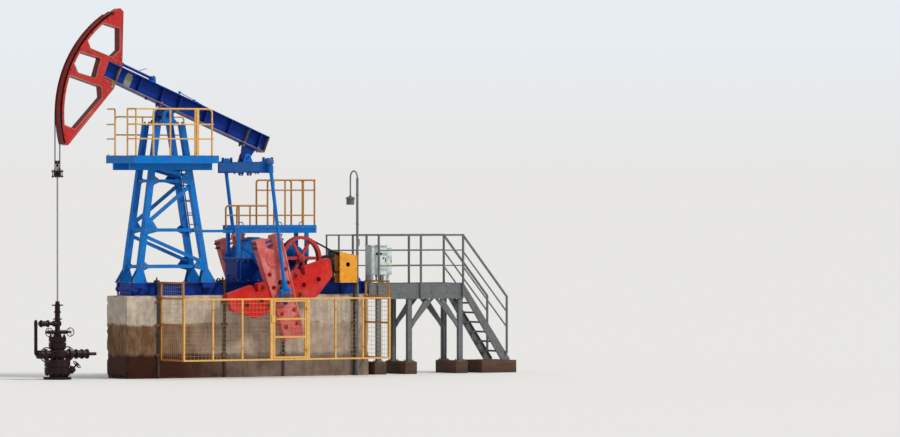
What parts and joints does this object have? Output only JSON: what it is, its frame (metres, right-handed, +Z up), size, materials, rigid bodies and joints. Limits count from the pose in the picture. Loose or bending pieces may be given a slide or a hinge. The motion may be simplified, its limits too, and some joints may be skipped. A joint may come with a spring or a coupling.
{
  "type": "pumpjack",
  "caption": "Beam pumping unit on a tall concrete foundation: horse head, walking beam, tower, cranks, gearbox, guard fences, walkway with stair, and wellhead.",
  "frame": {"origin": "centre of the foundation's underside, at ground level", "axes": "+X along the machine from the wellhead to the stair, +Y to the far side, +Z up"},
  "size_m": [12.8333, 3.474, 8.7115],
  "materials": {
    "concrete": "weathered, oil stained concrete",
    "dark_steel": "dull dark steel",
    "navy_paint": "satin navy paint",
    "blue_paint": "satin bright blue paint",
    "red_paint": "satin red paint",
    "faded_red": "faded red paint",
    "maroon_paint": "dull dark red paint",
    "yellow_paint": "yellow paint, rust at the joints",
    "amber_paint": "amber paint",
    "grey_paint": "grey paint",
    "pale_paint": "pale blue grey paint",
    "black_iron": "oily black iron",
    "belt_rubber": "black rubber",
    "bright_steel": "machined steel",
    "rope_steel": "oiled wire rope",
    "brown_block": "oil stained block"
  },
  "bodies": {
    "frame": {"foundation": "concrete", "hold_down_bars": "dark_steel", "base_skid": "navy_paint", "tower_side_near": "blue_paint", "tower_side_far": "blue_paint", "tower_cross_ties": "blue_paint", "tower_cap": "blue_paint", "tower_ladder": "blue_paint", "tower_platform": "blue_paint", "tower_railing": "yellow_paint", "gearbox_case": "navy_paint", "gearbox_cover": "blue_paint", "gearbox_platform": "blue_paint", "gearbox_railing": "yellow_paint", "motor": "grey_paint", "belt_guard": "amber_paint", "drive_belt": "belt_rubber", "control_cabinets": "pale_paint", "lamp_post": "grey_paint", "fence_near_left": "yellow_paint", "fence_near_right": "yellow_paint", "fence_gate_frame": "yellow_paint", "fence_near_ends": "yellow_paint", "fence_far_front": "yellow_paint", "fence_far_ends": "yellow_paint", "walkway_frame": "grey_paint", "walkway_railing": "grey_paint", "walkway_footings": "brown_block", "stair_sides": "grey_paint", "stair_treads": "grey_paint", "wellhead_body": "black_iron", "wellhead_valves": "black_iron", "stuffing_box": "black_iron"},
    "beam": {"walking_beam": "navy_paint", "horse_head": "red_paint", "head_track": "maroon_paint", "beam_strut": "blue_paint", "beam_bearings": "navy_paint"},
    "pitman": {"equalizer": "blue_paint", "pitman_rods": "blue_paint"},
    "crank": {"crank_arms": "faded_red", "counterweights": "red_paint", "crank_shaft": "bright_steel"},
    "pulley": {"big_pulley": "red_paint"},
    "gate": {"fence_gate": "yellow_paint"},
    "rod": {"polished_rod": "bright_steel", "carrier_bar": "black_iron", "bridle_ropes": "rope_steel"}
  },
  "joints": [
    {"name": "beam_rock", "type": "hinge", "parent": "frame", "child": "beam", "pos_m": [-2.02, 0, 6.222], "axis": [0, 1, 0], "range_deg": [-44.8, 0.6]},
    {"name": "pitman_swing", "type": "hinge", "parent": "beam", "child": "pitman", "pos_m": [0.17016, 0, 5.22194], "axis": [0, 1, 0], "range_deg": [-1, 53]},
    {"name": "rod_stroke", "type": "slide", "parent": "frame", "child": "rod", "axis": [0, 0, 1], "range_m": [-2.2, 0.03], "deforming": ["bridle_ropes"]},
    {"name": "crank_turn", "type": "hinge", "parent": "frame", "child": "crank", "pos_m": [0.39, 0, 2.81], "axis": [0, 1, 0], "continuous": true},
    {"name": "pulley_turn", "type": "hinge", "parent": "frame", "child": "pulley", "pos_m": [1.35, 0, 2.81], "axis": [0, 1, 0], "continuous": true},
    {"name": "gate_swing", "type": "hinge", "parent": "frame", "child": "gate", "pos_m": [0.895, -1.738, 0.67], "axis": [0, 0, 1], "range_deg": [0, 110]}
  ],
  "couplings": [
    {"joint": "pitman_swing", "follows": "beam_rock", "ratio": -1.161},
    {"joint": "rod_stroke", "follows": "beam_rock", "m_per_rad": 2.803}
  ]
}
